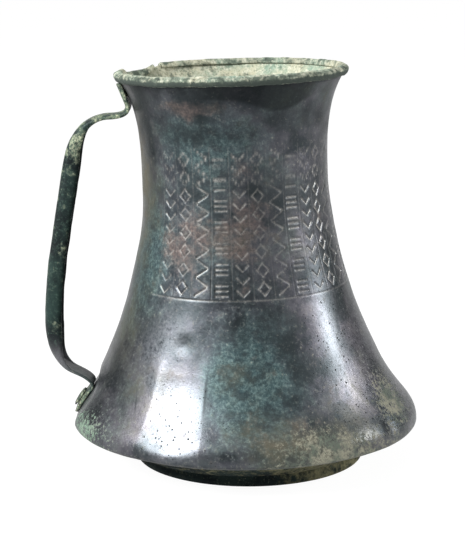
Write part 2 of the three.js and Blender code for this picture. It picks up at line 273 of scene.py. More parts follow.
# Black cards: name, place and size, all turned to the middle of the jug
CARD_TARGET = (0, 0, 0.08)
CARDS = [
    ("camera_flag", (0.05, -1.5, 0.62), (1.1, 1.0)),
    ("left_flag", (-1.1, 0.75, 0.25), (0.7, 0.8)),
    ("right_flag", (1.1, 0.75, 0.25), (0.7, 0.8)),
]

# Camera: its place, how far it looks down and its roll in degrees, and its lens
CAMERA_PLACE = (0.00072, -0.733, 0.2324)
CAMERA_PITCH = 11.4
CAMERA_ROLL = -0.38
LENS_MM = 131.02
SENSOR_MM = 36


def smooth(value, low, high):
    """0 below the low end, 1 above the high end, and a smooth step between them."""
    share = np.clip((value - low) / (high - low), 0, 1)
    return share * share * (3 - 2 * share)


def hump(value, middle, half):
    """1 at the middle, falling to nearly 0 at twice that half width."""
    return np.exp(-((value - middle) / half) ** 2)


def blob(azimuth, height, centre, half_size):
    """1 at a place on the wall, falling to nearly 0 at an ellipse of twice that half size."""
    across = (azimuth - centre[0]) / half_size[0]
    up = (height - centre[1]) / half_size[1]
    return np.exp(-(across ** 2 + up ** 2))


def patches(spots, azimuth, height):
    """Blobs added up, each with its own strength."""
    return sum(strength * blob(azimuth, height, centre, half) for strength, centre, half in spots)


# Seeded noise for lumps and undulations
LATTICE = 32
lattice = np.random.default_rng(11).random((LATTICE, LATTICE, LATTICE)) * 2 - 1


def lumps(points, size):
    """Smooth noise from -1 to 1, with lumps of that width."""
    scaled = points / size
    base = np.floor(scaled).astype(int)
    share = scaled - base
    share = share * share * (3 - 2 * share)
    total = np.zeros(points.shape[:-1])
    for corner in np.ndindex(2, 2, 2):
        weight = np.ones(points.shape[:-1])
        for axis in range(3):
            weight = weight * (share[..., axis] if corner[axis] else 1 - share[..., axis])
        index = [(base[..., axis] + corner[axis]) % LATTICE for axis in range(3)]
        total += weight * lattice[index[0], index[1], index[2]]
    return total


def cubic(start, start_pull, end, end_pull, count):
    """Points of a Bezier curve, followed along a tangent at each end."""
    share = np.linspace(0, 1, count)[:, None]
    first = start + start_pull
    second = end - end_pull
    return (
        (1 - share) ** 3 * start
        + 3 * (1 - share) ** 2 * share * first
        + 3 * (1 - share) * share ** 2 * second
        + share ** 3 * end
    )


def wall_stretch(low, low_flare, low_ease, high, high_flare, high_ease, count):
    """The wall between two heights. A flare is the radius gained per unit of height."""
    rise = high[1] - low[1]
    low_pull = np.array([low_flare, 1]) * rise * low_ease
    high_pull = np.array([high_flare, 1]) * rise * high_ease
    return cubic(low, low_pull, high, high_pull, count)


def under_turn(count):
    """The turned-in edge of the wall, from the hem out to the widest ring."""
    run = (WIDEST[0] - HEM[0]) * UNDER_TURN_EASE
    rise = (WIDEST[1] - HEM[1]) * UNDER_TURN_EASE
    return cubic(HEM, np.array([run, run * HEM_SLOPE]), WIDEST, np.array([0, rise]), count)


def wall_outline(counts):
    """The wall's outside from hem to rim, with a count of points for each stretch."""
    turn, skirt, body, mouth = counts
    pieces = [
        under_turn(turn),
        wall_stretch(WIDEST, 0, WIDEST_EASE, SHOULDER, SHOULDER_FLARE, SHOULDER_EASE_BELOW, skirt)[1:],
        wall_stretch(SHOULDER, SHOULDER_FLARE, SHOULDER_EASE_ABOVE, NECK, 0, NECK_EASE_BELOW, body)[1:],
        wall_stretch(NECK, 0, NECK_EASE_ABOVE, RIM, RIM_FLARE, RIM_EASE, mouth)[1:],
    ]
    return np.concatenate(pieces)


def unit_rows(vectors):
    return vectors / np.linalg.norm(vectors, axis=1)[:, None]


def outline_normals(outline):
    """Unit vectors square to an outline, to the right of its direction."""
    along = unit_rows(np.gradient(outline, axis=0))
    return np.stack([along[:, 1], -along[:, 0]], axis=1)


# The wall from its widest ring up, for pieces that lie on it
mount_outline = wall_outline((40, 60, 120, 60))
above_widest = mount_outline[:, 1] >= WIDEST[1]
mount_normals = outline_normals(mount_outline)[above_widest]
mount_outline = mount_outline[above_widest]


def on_wall(height, stand_off):
    """A place on the wall's outside, moved out square to the wall, and the normal there."""
    heights = mount_outline[:, 1]
    place = np.array([np.interp(height, heights, mount_outline[:, 0]), height])
    normal = np.array([np.interp(height, heights, mount_normals[:, axis]) for axis in range(2)])
    return place + normal * stand_off, normal


def settle(points):
    """The lean, the sagging rim and the hollow under the handle, as the solids have them."""
    x, y, z = (points[..., axis].copy() for axis in range(3))
    radius = np.hypot(x, y)
    turn = np.degrees(np.arctan2(y, x)) % 360
    across = np.radians(turn - 180) * radius
    away = np.hypot(across / HOLLOW_HALF_WIDTH, (z - HOLLOW_HEIGHT) / HOLLOW_HALF_RISE)
    near_wall = smooth(radius, FOOT_RADIUS + FOOT_OFF_CENTRE, HEM[0])
    press = HOLLOW_DEPTH * near_wall * (1 - smooth(away, HOLLOW_FLAT_SHARE, 1))
    shrink = 1 - press / np.maximum(radius, 1)
    x *= shrink
    y *= shrink
    sag_width = (SAG_END - SAG_START) / 2
    sag_middle = (SAG_END + SAG_START) / 2
    in_sag = 1 - smooth(np.abs(turn - sag_middle), sag_width / 2, sag_width)
    z -= SAG_DEPTH * in_sag * smooth(z, RIM[1] - SAG_REACH, RIM[1])
    z += RIM_TILT * z * x / (2 * RIM[0] * RIM[1])
    x -= LEAN * z
    return np.stack([x, y, z], axis=-1)


def around(azimuth, radius, height):
    """Places turned about the Z axis."""
    angle = np.radians(azimuth)
    return np.stack([radius * np.sin(angle), -radius * np.cos(angle), height], axis=-1)


def wrapped(azimuth):
    """The same azimuth between -180 and 180."""
    return (azimuth + 180) % 360 - 180


def swept(outline, azimuth):
    """Azimuth, radius and height at each point of an outline and each column round it."""
    columns, rows = np.meshgrid(azimuth, np.arange(len(outline)))
    return columns, outline[rows, 0], outline[rows, 1]


def grid_object(name, node, material_list, grid, marks, wrap_rows=True,
                wrap_columns=True, face_material=None):
    """A mesh over a grid of places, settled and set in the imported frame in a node's stead."""
    rows, columns = grid.shape[:2]
    places = settle(grid).reshape(-1, 3)
    places[:, 0] += AXIS_X
    places *= 0.001
    index = np.arange(rows * columns).reshape(rows, columns)
    if wrap_rows:
        index = np.concatenate([index, index[:1]])
    if wrap_columns:
        index = np.concatenate([index, index[:, :1]], axis=1)
    quads = np.stack([index[:-1, :-1], index[:-1, 1:], index[1:, 1:], index[1:, :-1]], axis=-1)
    faces = quads.reshape(-1, 4).tolist()
    if wrap_rows and not wrap_columns:
        faces.append(index[:-1, 0].tolist())
        faces.append(index[:-1, -1][::-1].tolist())
    mesh = bpy.data.meshes.new(name)
    mesh.from_pydata(places.tolist(), [], faces)
    for material in material_list:
        mesh.materials.append(material)
    mesh.polygons.foreach_set("use_smooth", [True] * len(faces))
    if face_material is not None:
        slots = np.repeat(face_material, quads.shape[1])
        mesh.polygons.foreach_set("material_index", slots.astype(np.int32))
    for mark, values in marks.items():
        attribute = mesh.attributes.new(mark, "FLOAT", "POINT")
        attribute.data.foreach_set("value", values.reshape(-1).astype(np.float32))
    mesh.validate()
    mesh.update()
    piece = bpy.data.objects.new(name, mesh)
    bpy.context.scene.collection.objects.link(piece)
    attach(piece, "root")
    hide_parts(node)


# Materials
class Shader:
    """A material under construction: each call adds nodes and returns their output."""

    def __init__(self, name, specular=0.5):
        self.material = bpy.data.materials.new(name)
        self.material.use_nodes = True
        self.tree = self.material.node_tree
        self.surface = self.tree.nodes["Principled BSDF"]
        self.surface.inputs["Specular IOR Level"].default_value = specular
        self.place = self.add("ShaderNodeTexCoord", {}).outputs["Object"]

    def feed(self, socket, value):
        if isinstance(value, bpy.types.NodeSocket):
            self.tree.links.new(value, socket)
        elif isinstance(value, tuple) and socket.type == "RGBA":
            socket.default_value = (*value, 1)
        else:
            socket.default_value = value

    def add(self, kind, inputs, **settings):
        """A node with its settings, and a value or a link for each of the named inputs."""
        node = self.tree.nodes.new(kind)
        for key, value in settings.items():
            setattr(node, key, value)
        for name, value in inputs.items():
            self.feed(node.inputs[name], value)
        return node

    def mark(self, name):
        """What the mesh says of each of its points under that name."""
        return self.add("ShaderNodeAttribute", {}, attribute_name=name).outputs["Fac"]

    def turned(self, scale, turn):
        """The place, turned and scaled, so that a noise on it is drawn out."""
        inputs = {"Vector": self.place, "Scale": scale, "Rotation": turn}
        return self.add("ShaderNodeMapping", inputs).outputs["Vector"]

    def noise(self, size_mm, detail, rough, place=None):
        inputs = {
            "Vector": place or self.place,
            "Scale": 1000 / size_mm,
            "Detail": detail,
            "Roughness": rough,
        }
        return self.add("ShaderNodeTexNoise", inputs).outputs["Fac"]

    def cells(self, size_mm):
        """Distance to the nearest of many scattered points, that far apart."""
        inputs = {"Vector": self.place, "Scale": 1000 / size_mm}
        return self.add("ShaderNodeTexVoronoi", inputs).outputs["Distance"]

    def ramp(self, value, low, high, to_low=0.0, to_high=1.0):
        """A smooth step between two numbers while the value goes from low to high."""
        inputs = {
            "Value": value,
            "From Min": low,
            "From Max": high,
            "To Min": to_low,
            "To Max": to_high,
        }
        node = self.add("ShaderNodeMapRange", inputs, interpolation_type="SMOOTHSTEP")
        return node.outputs["Result"]

    def math(self, operation, first, second):
        return self.add("ShaderNodeMath", {0: first, 1: second}, operation=operation).outputs[0]

    def times(self, first, second):
        return self.math("MULTIPLY", first, second)

    def plus(self, first, second):
        return self.math("ADD", first, second)

    def minus(self, first, second):
        return self.math("SUBTRACT", first, second)

    def raised(self, level, mark, reach):
        """A level with a share of one of the mesh's marks added to it."""
        return self.plus(level, self.times(self.mark(mark), reach))

    def mix(self, share, first, second):
        """A colour between two."""
        inputs = {"Factor": share, 6: first, 7: second}
        return self.add("ShaderNodeMix", inputs, data_type="RGBA").outputs[2]

    def blend(self, share, first, second):
        """A number between two."""
        inputs = {"Factor": share, 2: first, 3: second}
        return self.add("ShaderNodeMix", inputs, data_type="FLOAT").outputs[0]

    def bump(self, height, distance_mm, strength, before=None):
        inputs = {"Height": height, "Distance": distance_mm / 1000, "Strength": strength}
        if before is not None:
            inputs["Normal"] = before
        return self.add("ShaderNodeBump", inputs).outputs["Normal"]

    def finish(self, colour, roughness, metallic, normal):
        self.feed(self.surface.inputs["Base Color"], colour)
        self.feed(self.surface.inputs["Roughness"], roughness)
        self.feed(self.surface.inputs["Metallic"], metallic)
        self.feed(self.surface.inputs["Normal"], normal)
        return self.material


def worn_metal(shader, mottle, fine, grit):
    """The bare metal's colour: dark mottled bronze, stained, and brighter where it is rubbed and where
    a sheen is painted over it.
    """
    black = (0.032, 0.038, 0.045)
    grey = (0.135, 0.128, 0.148)
    scuffed = (0.19, 0.185, 0.18)
    speck = (0.02, 0.026, 0.026)
    stained = (0.022, 0.032, 0.032)
    rubbed_metal_and_sheen = (0.19, 0.205, 0.225)
    metal = shader.mix(shader.ramp(mottle, 0.38, 0.64), black, grey)
    metal = shader.mix(shader.ramp(fine, 0.52, 0.75), metal, scuffed)
    metal = shader.mix(shader.ramp(grit, 0.3, 0.42, 0.5, 0), metal, speck)
    stain = shader.ramp(shader.noise(16, 6, 0.6), 0.42, 0.6, 0.55, 0)
    metal = shader.mix(stain, metal, stained)
    # Rubbed metal and painted sheen, brighter where the mesh's mark for them is up
    polish_and_sheen = shader.times(shader.mark("polish_and_sheen"), shader.ramp(fine, 0.34, 0.54, 0.2, 0.9))
    return shader.mix(polish_and_sheen, metal, rubbed_metal_and_sheen)


def teal_bloom(shader, fine, grit):
    """The bloom's colour: pale grains and dark clouds in teal."""
    deep = (0.028, 0.056, 0.062)
    teal = (0.105, 0.165, 0.165)
    pale = (0.17, 0.24, 0.22)
    cloud = (0.014, 0.024, 0.028)
    colour = shader.mix(shader.ramp(fine, 0.4, 0.66), deep, teal)
    colour = shader.mix(shader.ramp(grit, 0.58, 0.72), colour, pale)
    clouds = shader.ramp(shader.noise(5.5, 5, 0.62), 0.36, 0.56, 1, 0)
    return shader.mix(shader.times(clouds, 0.75), colour, cloud)


def pitted(shader):
    """1 in the scattered pits, which are larger where the mesh has its mark for them."""
    reach = shader.raised(0.05, "pits", 0.17)
    pits = shader.ramp(shader.minus(shader.cells(1.9), reach), 0.0, 0.07, 1, 0)
    return shader.times(pits, shader.ramp(shader.noise(3.5, 3, 0.5), 0.45, 0.56))


def wall_material():
    """Dark worn metal under a teal bloom, with matte brown patches, pits and pale crust, with painted
    shade, dark cracks and a painted sheen.
    """
    brown = (0.055, 0.042, 0.04)
    reddish = (0.15, 0.105, 0.092)
    olive_drab = (0.082, 0.08, 0.052)
    grey_green = (0.085, 0.105, 0.08)
    sandy = (0.24, 0.235, 0.175)
    mint = (0.16, 0.25, 0.18)
    pit_black = (0.01, 0.012, 0.012)
    # Painted shade, and the colour of the dark cracks and darker places
    shade_and_dark_mark_black = (0.006, 0.009, 0.01)
    worn_bright = (0.3, 0.29, 0.27)

    shader = Shader("wall_patina")
    wide = shader.noise(30, 4, 0.55)
    middle = shader.noise(9, 8, 0.68)
    fine = shader.noise(1.5, 7, 0.72)
    grit = shader.noise(0.55, 4, 0.6)
    mottle = shader.blend(0.42, wide, middle)

    # Wide soft clouds of bloom lie over the metal
    bloom = shader.ramp(shader.raised(mottle, "bloom", 0.22), 0.47, 0.74)
    colour = shader.mix(bloom, worn_metal(shader, mottle, fine, grit), teal_bloom(shader, fine, grit))

    # Reddish brown and olive patches, both matte
    rust = shader.ramp(shader.raised(middle, "rust", 0.3), 0.58, 0.86)
    rust_colour = shader.mix(shader.ramp(fine, 0.38, 0.62), brown, reddish)
    colour = shader.mix(shader.times(rust, 0.85), colour, rust_colour)
    olive = shader.ramp(shader.raised(mottle, "olive", 0.24), 0.5, 0.8)
    colour = shader.mix(shader.times(olive, 0.75), colour, olive_drab)

    # Pale grey-green and sandy crust, broken up by the grit
    crust = shader.ramp(shader.raised(fine, "crust", 0.3), 0.6, 0.76)
    crust = shader.times(crust, shader.ramp(grit, 0.36, 0.5, 0.45, 1))
    pale = shader.mix(shader.ramp(middle, 0.42, 0.58), grey_green, sandy)
    pale = shader.mix(shader.mark("mint"), pale, mint)
    colour = shader.mix(crust, colour, pale)

    # Pits, painted shade and dark cracks from the mesh's shade mark, and strokes worn bright
    pits = pitted(shader)
    colour = shader.mix(pits, colour, pit_black)
    shade = shader.mark("shade")
    colour = shader.mix(shade, colour, shade_and_dark_mark_black)
    worn = shader.times(shader.mark("groove"), shader.ramp(fine, 0.36, 0.56, 0.15, 0.85))
    colour = shader.mix(worn, colour, worn_bright)

    # Bare metal is the smoothest, and crust is dull and not metallic
    roughness = shader.ramp(fine, 0.3, 0.7, 0.3, 0.44)
    roughness = shader.minus(roughness, shader.times(shader.mark("polish_and_sheen"), 0.02))
    for cover, cover_roughness in ((bloom, 0.52), (rust, 0.66), (crust, 0.9), (shade, 0.7)):
        roughness = shader.blend(cover, roughness, cover_roughness)
    metallic = shader.blend(bloom, 0.85, 0.6)
    for cover, cover_metallic in ((rust, 0.4), (crust, 0.0)):
        metallic = shader.blend(cover, metallic, cover_metallic)
    relief = shader.minus(shader.times(fine, 0.5), pits)
    relief = shader.plus(relief, shader.times(crust, 0.5))
    relief = shader.plus(relief, shader.times(grit, 0.25))
    normal = shader.bump(relief, 0.13, 0.8, shader.bump(middle, 0.3, 0.5))
    return shader.finish(colour, roughness, metallic, normal)


def crust_material():
    """Pale cream and mint corrosion with green patches and dark specks, with painted shade, more green
    and more specks where the mesh's shade mark is up.
    """
    cream = (0.5, 0.49, 0.36)
    mint = (0.27, 0.36, 0.28)
    light = (0.62, 0.62, 0.5)
    sage = (0.2, 0.25, 0.19)
    green = (0.1, 0.13, 0.1)
    shadow = (0.04, 0.045, 0.034)
    speck = (0.04, 0.052, 0.044)

    shader = Shader("pale_crust", specular=0.3)
    wide = shader.noise(14, 5, 0.6)
    middle = shader.noise(4.5, 6, 0.65)
    fine = shader.noise(1.7, 7, 0.72)
    grain = shader.noise(0.8, 4, 0.7)
    colour = shader.mix(shader.ramp(wide, 0.4, 0.6), cream, mint)
    colour = shader.mix(shader.ramp(fine, 0.45, 0.65), colour, light)
    colour = shader.mix(shader.ramp(grain, 0.52, 0.66), colour, sage)
    # Where the shade mark is up: more green, painted shade, and more dark specks
    colour = shader.mix(shader.ramp(shader.raised(middle, "shade", 0.2), 0.52, 0.72), colour, green)
    colour = shader.mix(shader.times(shader.mark("shade"), 0.4), colour, shadow)
    specks = shader.ramp(shader.raised(fine, "shade", -0.2), 0.22, 0.42, 1, 0)
    colour = shader.mix(specks, colour, speck)
    relief = shader.plus(fine, shader.times(grain, 0.4))
    return shader.finish(colour, 0.88, 0.05, shader.bump(relief, 0.45, 0.9))


def under_material():
    """Olive and sandy crust over black patina, for the foot and the underside."""
    black = (0.004, 0.008, 0.009)
    dark_green = (0.014, 0.024, 0.022)
    sandy = (0.21, 0.2, 0.115)
    sage = (0.09, 0.11, 0.08)

    shader = Shader("under_patina", specular=0.15)
    wide = shader.noise(15, 5, 0.6)
    middle = shader.noise(3.2, 7, 0.7, shader.turned((1, 1, 0.9), (0.5, 0.4, 0.3)))
    fine = shader.noise(1.2, 5, 0.7)
    colour = shader.mix(shader.ramp(wide, 0.4, 0.6), black, dark_green)
    colour = shader.mix(shader.ramp(shader.raised(middle, "crust", 0.3), 0.58, 0.92), colour, sandy)
    colour = shader.mix(shader.ramp(fine, 0.56, 0.7), colour, sage)
    return shader.finish(colour, 0.85, 0.0, shader.bump(middle, 0.5, 0.8))


def handle_material():
    """Dark green patina with pale spots, thicker on the upper bend, and painted shade inside the
    channel.
    """
    black = (0.002, 0.006, 0.007)
    dark_green = (0.013, 0.03, 0.026)
    dull_green = (0.045, 0.08, 0.062)
    spot_green = (0.085, 0.13, 0.09)
    spot_cream = (0.4, 0.42, 0.29)
    bare_metal = (0.16, 0.155, 0.17)
    shadow = (0.006, 0.008, 0.008)

    shader = Shader("handle_patina", specular=0.25)
    wide = shader.noise(18, 5, 0.6)
    middle = shader.noise(4.5, 8, 0.7)
    fine = shader.noise(1.1, 6, 0.7)
    colour = shader.mix(shader.ramp(wide, 0.38, 0.62), black, dark_green)
    colour = shader.mix(shader.ramp(fine, 0.5, 0.74), colour, dull_green)
    crust = shader.ramp(shader.raised(middle, "crust", 0.24), 0.6, 0.82)
    spots = shader.mix(shader.ramp(fine, 0.42, 0.62), spot_green, spot_cream)
    colour = shader.mix(crust, colour, spots)
    colour = shader.mix(shader.mark("bare"), colour, bare_metal)
    # Painted shade inside the channel
    colour = shader.mix(shader.mark("shade"), colour, shadow)
    roughness = shader.blend(crust, 0.46, 0.88)
    metallic = shader.blend(crust, 0.3, 0.05)
    relief = shader.plus(shader.times(middle, 0.8), shader.times(fine, 0.5))
    return shader.finish(colour, roughness, metallic, shader.bump(relief, 0.4, 0.8))


wall_patina = wall_material()
pale_crust = crust_material()
under_patina = under_material()
handle_patina = handle_material()


# Ornament: each motif is a list of strokes, repeated up a column with a pitch
def chevrons(half, pitch, levels):
    strokes = []
    for level in levels:
        strokes.append(((-half, level + 0.5 * pitch), (0, level)))
        strokes.append(((half, level + 0.5 * pitch), (0, level)))
    return strokes


def lozenges(half, pitch, levels):
    strokes = []
    for level in levels:
        middle = level + 0.36 * pitch
        corners = [(0, level), (half, middle), (0, level + 0.72 * pitch), (-half, middle), (0, level)]
        strokes += list(zip(corners, corners[1:]))
    return strokes


def zigzags(half, pitch, levels):
    strokes = []
    for level in levels:
        strokes.append(((-half, level), (half, level + 0.42 * pitch)))
        strokes.append(((half, level + 0.5 * pitch), (-half, level + 0.92 * pitch)))
    return strokes


def ladders(half, pitch, levels):
    strokes = []
    for level in levels:
        for rung in range(3):
            height = level + 0.24 * pitch * rung
            strokes.append(((-half, height), (half, height)))
    return strokes


# Which motifs the columns take in turn, and about how high one of each is
MOTIFS = [(chevrons, 5.2), (lozenges, 7.8), (zigzags, 7.4), (ladders, 8.6)]


def stroke_cut(across, up, start, end):
    """How deep one stroke is cut at each place, narrower towards its end."""
    run = np.array(end) - np.array(start)
    from_start = (across - start[0], up - start[1])
    share = np.clip((from_start[0] * run[0] + from_start[1] * run[1]) / (run @ run), 0, 1)
    away = np.hypot(from_start[0] - share * run[0], from_start[1] - share * run[1])
    return hump(away, 0, STROKE_HALF_WIDTH - STROKE_TAPER * share)


def motif_cut(column, across, up):
    """How deep a column's motif is cut at each place."""
    maker, pitch = MOTIFS[column % len(MOTIFS)]
    room = PANEL_TOP - PANEL_FOOT - 2 * MOTIF_GAP
    pitch = room / round(room / pitch)
    foot = PANEL_FOOT + MOTIF_GAP + 0.12 * pitch
    levels = np.arange(foot, PANEL_TOP - 0.8 * pitch, pitch)
    cut = np.zeros(across.shape)
    for start, end in maker(MOTIF_HALF_WIDTH, pitch, levels):
        cut = np.maximum(cut, stroke_cut(across, up, start, end))
    return cut


def groove_depth(azimuth, radius, height):
    """How deep the ornament is cut at each place, from 0 to 1."""
    depth = np.zeros(azimuth.shape)
    width = (PANEL_RIGHT - PANEL_LEFT) / PANEL_COLUMNS
    near = (azimuth > PANEL_LEFT - PANEL_MARGIN) & (azimuth < PANEL_RIGHT + PANEL_MARGIN)
    near &= (height > PANEL_FOOT - PANEL_MARGIN) & (height < PANEL_TOP + PANEL_MARGIN)
    for line in (PANEL_TOP, PANEL_FOOT):
        depth = np.maximum(depth, RULE_LEVEL * hump(height, line, RULE_HALF_WIDTH) * near)
    inside = near & (height > PANEL_FOOT) & (height < PANEL_TOP)
    for column in range(PANEL_COLUMNS + 1):
        away = np.radians(azimuth - PANEL_LEFT - column * width) * radius
        depth = np.maximum(depth, DIVIDER_LEVEL * hump(away, 0, DIVIDER_HALF_WIDTH) * inside)
    for column in range(PANEL_COLUMNS):
        middle = PANEL_LEFT + (column + 0.5) * width
        here = near & (np.abs(azimuth - middle) < width / 2)
        across = np.radians(azimuth[here] - middle) * radius[here]
        depth[here] = np.maximum(depth[here], motif_cut(column, across, height[here]))
    return depth


# Body wall
def flattened(azimuth, middle, half):
    """Inward share of the radius that makes a chord between two azimuths."""
    away = np.radians(azimuth - middle)
    inside = np.abs(away) < np.radians(half)
    chord = 1 - math.cos(math.radians(half)) / np.cos(np.where(inside, away, 0))
    return np.where(inside, chord, 0)


def dents(azimuth, radius, height):
    """Outward displacement of the whole sheet: hammer lumps, the flattened patch and dimples."""
    angle = wrapped(azimuth)
    out = 0.3 * lumps(around(azimuth, radius, height), 21)
    patch_rise = smooth(height, 17.5, 25) * (1 - smooth(height, 44, 66))
    patch_side = smooth(angle, -38, -31) ** 0.5
    chord = flattened(angle, PATCH_ANGLE, PATCH_HALF_ANGLE) * patch_side
    out -= PATCH_SHARE * radius * chord * patch_rise
    out -= patches(DIMPLES, angle, height)
    ends = smooth(height, HEM[1], WIDEST[1]) * (1 - smooth(height, RIM[1] - 8, RIM[1] - 3))
    return out * ends


def painted_shade_and_dark_marks(angle, height, places):
    """How dark the wall is at each place, as the darkest of seven marks on it: painted shadow under the
    rim's lip, painted shade at the binding's lower edge and on the underside below the widest ring,
    darker and mottled towards the top of the neck, a darker patch at the front of the panel, and two
    dark cracks by the flattened patch.
    """
    # Painted shadow that the rim's lip casts down the front of the neck
    wedge_foot = 160.5 - 5.5 * hump(angle, 26, 16)
    wedge_side = smooth(angle, -38, -8) * (1 - smooth(angle, 40, 58))
    under_rim = 0.8 * wedge_side * smooth(height, wedge_foot, wedge_foot + 3.5)
    # Painted shade just under the binding's lower edge
    rim_edge = 0.75 * smooth(height, 166.5, 168.5)
    # Painted shade on the underside, where the wall turns in below the widest ring
    hem_edge = 0.7 * (1 - smooth(height, 14.5, 17.5))
    # Darker and mottled towards the top of the neck, and a darker patch at the front of the panel
    upper_neck = (0.4 + 0.35 * lumps(places, 7)) * smooth(height, 138, 150)
    lower_neck = 0.38 * blob(angle, height, (6, 112), (22, 30))
    # Two dark cracks by the flattened patch
    patch_crease = 0.55 * blob(angle, height, (-14.9, 42), (0.5, 8))
    slanting_crack = 0.7 * blob(angle + 0.35 * height, height, (-31, 36), (0.45, 4))
    edges = [under_rim, rim_edge, hem_edge]
    darkest = np.maximum.reduce([*edges, upper_neck, lower_neck, patch_crease, slanting_crack])
    return np.clip(darkest, 0, 1)


def wall_relief(azimuth, radius, height):
    """Relief of the wall's outside alone, with the marks that its material reads."""
    places = around(azimuth, radius, height)
    angle = wrapped(azimuth)
    wear = np.clip(0.8 + 0.6 * lumps(places, 13), 0.35, 1)
    groove = groove_depth(angle, radius, height) * wear
    out = 0.06 * lumps(places, 5.5) - GROOVE_DEPTH * groove
    marks = {name: patches(spots, angle, height) for name, spots in PATCHES.items()}

    # Crust along the hem and behind the handle, and a mottled bloom all over the back
    marks["crust"] += 0.35 * (1 - smooth(height, 15, 19))
    back_patch = blob(angle, height, (-140, 40), (20, 16)) * smooth(np.abs(angle), 95, 110)
    marks["crust"] += 0.7 * back_patch
    marks["bloom"] += (0.25 + 0.6 * lumps(places, 34)) * smooth(np.abs(angle), 95, 125)
    for name, values in marks.items():
        lowest = -1 if name == "bloom" else 0
        marks[name] = np.clip(values, lowest, 1)
    marks["groove"] = groove
    marks["shade"] = painted_shade_and_dark_marks(angle, height, places)
    return out, marks


def moved_out(outline, azimuth, distance):
    """An outline turned about the Z axis, with each place moved square to it."""
    columns, radius, height = swept(outline, azimuth)
    _, normal_radius, normal_height = swept(outline_normals(outline), azimuth)
    return around(columns, radius + normal_radius * distance, height + normal_height * distance)


def body_wall():
    fine = np.linspace(FINE_START, FINE_END, FINE_COLUMNS, endpoint=False)
    coarse = np.linspace(FINE_END, FINE_START + 360, COARSE_COLUMNS, endpoint=False)
    azimuth = np.concatenate([fine, coarse])

    # The relief ends at the hem and under the binding, and the dents go through the sheet
    outer = wall_outline(OUTER_COUNTS)
    relief, marks = wall_relief(*swept(outer, azimuth))
    relief[0] = 0
    relief[-3:] = 0
    outside = moved_out(outer, azimuth, relief + dents(*swept(outer, azimuth)))
    inner = wall_outline(INNER_COUNTS)
    inside = moved_out(inner, azimuth, dents(*swept(inner, azimuth)) - WALL_THICKNESS)[::-1]

    plain = np.zeros(inside.shape[:2])
    full = {name: np.concatenate([values, plain]) for name, values in marks.items()}
    # Painted shade on the inside of the wall: darker on the side towards the handle and higher up
    shaded_handle_side = smooth(-inside[..., 0], -14, 26)
    full["shade"][len(outer):] = 0.3 * shaded_handle_side * smooth(inside[..., 2], 60, 110)
    face_material = np.concatenate([np.zeros(len(outer)), np.ones(len(inner))])
    face_material[-1] = 0
    grid_object("worn_wall", "body_wall", [wall_patina, pale_crust],
                np.concatenate([outside, inside]), full, face_material=face_material)


# Rim binding
def rounded(corners, rounds):
    """A closed outline with its corners cut, a number of times over."""
    for _ in range(rounds):
        after = np.roll(corners, -1, axis=0)
        corners = np.stack([0.75 * corners + 0.25 * after, 0.25 * corners + 0.75 * after], axis=1)
        corners = corners.reshape(-1, 2)
    return corners


def binding_section(out, up):
    """Section of the folded strip, which hugs the wall's edge on both sides."""
    thick = BINDING_THICKNESS
    inner = -WALL_THICKNESS - SEAT
    corners = [
        (SEAT, -OUTER_LEG),
        (SEAT + 0.8 * thick, -OUTER_LEG),
        (SEAT + 1.25 * thick, -0.6 * OUTER_LEG),
        (SEAT + 1.15 * thick, 0),
        (SEAT + 0.5 * thick, SEAT + 0.8 * thick),
        ((SEAT + inner) / 2, SEAT + thick),
        (inner - 0.6 * thick, SEAT + 0.7 * thick),
        (inner - thick, 0),
        (inner - 0.8 * thick, -INNER_LEG),
        (inner, -INNER_LEG),
        (inner, SEAT),
        (SEAT, SEAT),
    ]
    return rounded(np.array([RIM + out * outward + up * upward for outward, upward in corners]), 2)


def rim_binding():
    up = np.array([RIM_FLARE, 1]) / math.hypot(RIM_FLARE, 1)
    out = np.array([up[1], -up[0]])
    section = binding_section(out, up)
    spread = section - section.mean(axis=0)

    # The strip goes round from one side of the break to the other, and its surface is lumpy
    half_break = math.degrees(BREAK_WIDTH / 2 / RIM[0])
    turn = np.linspace(BREAK_ANGLE + half_break, BREAK_ANGLE + 360 - half_break, BINDING_COLUMNS)
    columns, radius, height = swept(section, turn + 90)
    _, spread_radius, spread_height = swept(spread, turn)
    _, way_radius, way_height = swept(unit_rows(spread), turn)
    places = around(columns, radius, height)
    lump = 0.16 * lumps(places, 4.2) + 0.12 * lumps(places, 1.7) - 0.04
    radius = radius + way_radius * lump
    height = height + way_height * lump

    # Its first end stands up a little, and the whole of it waves
    along = np.radians(columns - 90 - BREAK_ANGLE) * RIM[0]
    lift = FLAP_LIFT * (1 - smooth(along, BREAK_WIDTH / 2, FLAP_LENGTH))
    wave = 0.22 * lumps(places, 12)
    grid = around(columns, radius + lift * up[0], height + lift * up[1] + wave)
    # The shade mark: a mottled level all round that greens and specks the crust, raised on the outer
    # face, and painted shade on the lower half of the outer leg
    outside = smooth(spread_radius, 0.4, 1.2)
    lower = outside * (1 - smooth(spread_height, -1.0, 0.4))
    shade = 0.35 + 0.25 * outside + 0.9 * lower + 0.25 * lumps(grid, 7)
    grid_object("folded_binding", "rim_binding", [pale_crust], grid,
                {"shade": shade}, wrap_columns=False)


